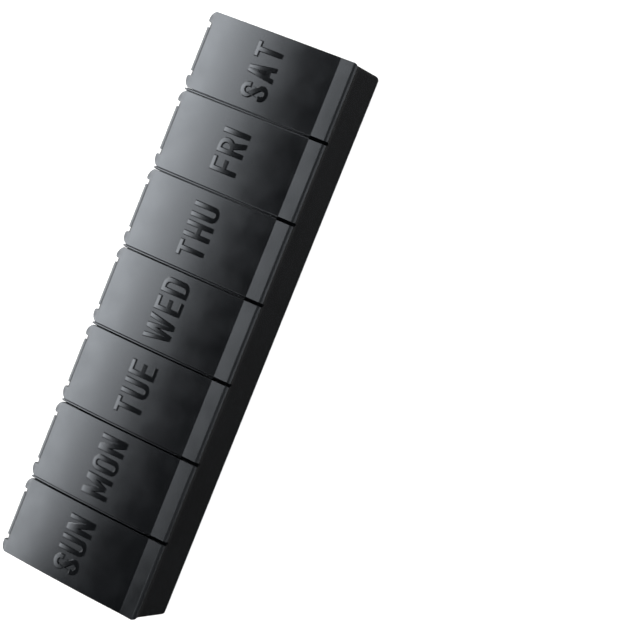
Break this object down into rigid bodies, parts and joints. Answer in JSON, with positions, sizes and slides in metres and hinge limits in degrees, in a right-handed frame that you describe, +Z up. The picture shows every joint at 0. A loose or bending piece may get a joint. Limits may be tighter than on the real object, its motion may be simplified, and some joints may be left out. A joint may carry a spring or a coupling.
{
  "type": "pill organizer",
  "caption": "Long shallow pill organizer: a one-piece divided tray with a row of hinged lids, each with a raised day name and a flat opening lip.",
  "frame": {"origin": "middle of the length and of the depth, on the surface that the tray stands on", "axes": "+X along the row from Sunday to Saturday, -Y towards the opening lips, +Y towards the hinges, +Z up"},
  "size_m": [0.219, 0.065, 0.0274],
  "materials": {
    "tray": "satin-gloss smoky black",
    "lid": "satin-gloss smoky black"
  },
  "bodies": {
    "tray": {"tray": "tray"},
    "lid_sunday": {"lid_sunday": "lid"},
    "lid_monday": {"lid_monday": "lid"},
    "lid_tuesday": {"lid_tuesday": "lid"},
    "lid_wednesday": {"lid_wednesday": "lid"},
    "lid_thursday": {"lid_thursday": "lid"},
    "lid_friday": {"lid_friday": "lid"},
    "lid_saturday": {"lid_saturday": "lid"}
  },
  "joints": [
    {"name": "sunday_hinge", "type": "hinge", "parent": "tray", "child": "lid_sunday", "pos_m": [-0.0945, 0.03049, 0.0236], "axis": [-1, 0, 0], "range_deg": [0, 180]},
    {"name": "monday_hinge", "type": "hinge", "parent": "tray", "child": "lid_monday", "pos_m": [-0.063, 0.03049, 0.0236], "axis": [-1, 0, 0], "range_deg": [0, 180]},
    {"name": "tuesday_hinge", "type": "hinge", "parent": "tray", "child": "lid_tuesday", "pos_m": [-0.0315, 0.03049, 0.0236], "axis": [-1, 0, 0], "range_deg": [0, 180]},
    {"name": "wednesday_hinge", "type": "hinge", "parent": "tray", "child": "lid_wednesday", "pos_m": [0, 0.03049, 0.0236], "axis": [-1, 0, 0], "range_deg": [0, 180]},
    {"name": "thursday_hinge", "type": "hinge", "parent": "tray", "child": "lid_thursday", "pos_m": [0.0315, 0.03049, 0.0236], "axis": [-1, 0, 0], "range_deg": [0, 180]},
    {"name": "friday_hinge", "type": "hinge", "parent": "tray", "child": "lid_friday", "pos_m": [0.063, 0.03049, 0.0236], "axis": [-1, 0, 0], "range_deg": [0, 180]},
    {"name": "saturday_hinge", "type": "hinge", "parent": "tray", "child": "lid_saturday", "pos_m": [0.0945, 0.03049, 0.0236], "axis": [-1, 0, 0], "range_deg": [0, 180]}
  ]
}
